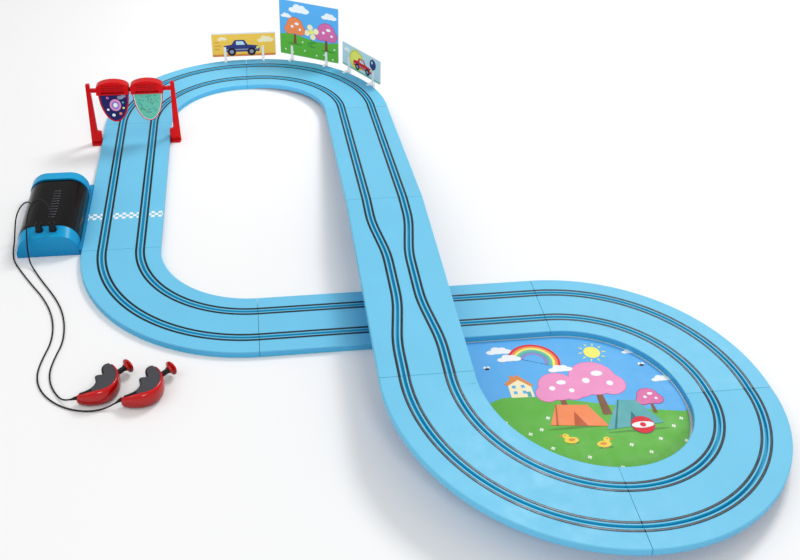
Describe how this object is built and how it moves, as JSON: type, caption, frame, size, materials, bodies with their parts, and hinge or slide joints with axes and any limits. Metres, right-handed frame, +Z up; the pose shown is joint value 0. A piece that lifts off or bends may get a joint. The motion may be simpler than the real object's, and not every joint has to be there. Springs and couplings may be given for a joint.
{
  "type": "slot car track set",
  "caption": "Figure-eight toy slot car track with a flyover bridge, arched power box, sprung hand controllers on cords, start gate and trackside boards.",
  "frame": {"origin": "centre of the footprint of everything but the free cords and plugs, on the floor", "axes": "+Z up; +Y from the loop towards the start gate, along the straights; +X from the power box towards the loop"},
  "size_m": [0.8534, 1.1064, 0.116],
  "materials": {
    "track_blue": "satin moulded",
    "support_blue": "satin moulded",
    "box_blue": "gloss moulded",
    "cover_black": "high gloss",
    "red_plastic": "gloss moulded",
    "grip_grey": "fine texture",
    "stem_black": "satin",
    "plug_black": "satin",
    "cord_black": "satin",
    "rail_steel": "rolled",
    "contact_brass": "plain",
    "battery_steel": "printed sleeve",
    "spring_steel": "plain wire",
    "screw_steel": "zinc plated",
    "circuit_board": "laminate",
    "printed_board": "printed plastic sheet",
    "printed_sheet": "printed plastic sheet",
    "panel_print": "printed plastic sheet",
    "clip_white": "satin moulded"
  },
  "bodies": {
    "track_set": {"battery_cells": "battery_steel", "battery_contacts": "contact_brass", "battery_cover": "cover_black", "billboard_east": "printed_board", "billboard_middle": "printed_board", "billboard_west": "printed_board", "board_clips": "clip_white", "bridge_rails": "rail_steel", "bridge_straight": "track_blue", "connecting_rails": "rail_steel", "connecting_straight": "track_blue", "controller_left_grip": "grip_grey", "controller_left_resistor_board": "circuit_board", "controller_left_shell": "red_plastic", "controller_right_grip": "grip_grey", "controller_right_resistor_board": "circuit_board", "controller_right_shell": "red_plastic", "controller_screws": "screw_steel", "controller_sockets": "stem_black", "cord_left": "cord_black", "cord_right": "cord_black", "corner_curve": "track_blue", "corner_curve_rails": "rail_steel", "cover_screws": "screw_steel", "crossing_rails": "rail_steel", "crossing_straight": "track_blue", "feed_strips": "contact_brass", "floor_sheet": "printed_sheet", "gate_beam": "red_plastic", "gate_post_east": "red_plastic", "gate_post_west": "red_plastic", "loop_curve_ground": "track_blue", "loop_curve_ground_rails": "rail_steel", "loop_curve_high": "track_blue", "loop_curve_high_rails": "rail_steel", "loop_curve_middle": "track_blue", "loop_curve_middle_rails": "rail_steel", "plug_left": "plug_black", "plug_right": "plug_black", "power_base": "box_blue", "power_board": "circuit_board", "ramp_rails": "rail_steel", "ramp_straight": "track_blue", "sign_caps": "red_plastic", "sign_panels": "panel_print", "support_loop_middle": "support_blue", "support_loop_top": "support_blue", "support_ramp_foot": "support_blue", "support_ramp_top": "support_blue", "top_curve_east": "track_blue", "top_curve_east_rails": "rail_steel", "top_curve_west": "track_blue", "top_curve_west_rails": "rail_steel"},
    "plunger_left": {"controller_left_plunger": "stem_black", "controller_left_knob": "red_plastic", "controller_left_spring": "spring_steel"},
    "plunger_right": {"controller_right_plunger": "stem_black", "controller_right_knob": "red_plastic", "controller_right_spring": "spring_steel"}
  },
  "joints": [
    {"name": "plunger_left_slide", "type": "slide", "parent": "track_set", "child": "plunger_left", "axis": [-0.7071, -0.7071, 0], "range_m": [0, 0.007], "stiffness_N_per_m": 150, "springref_m": -0.003},
    {"name": "plunger_right_slide", "type": "slide", "parent": "track_set", "child": "plunger_right", "axis": [-0.7071, -0.7071, 0], "range_m": [0, 0.007], "stiffness_N_per_m": 150, "springref_m": -0.003}
  ]
}
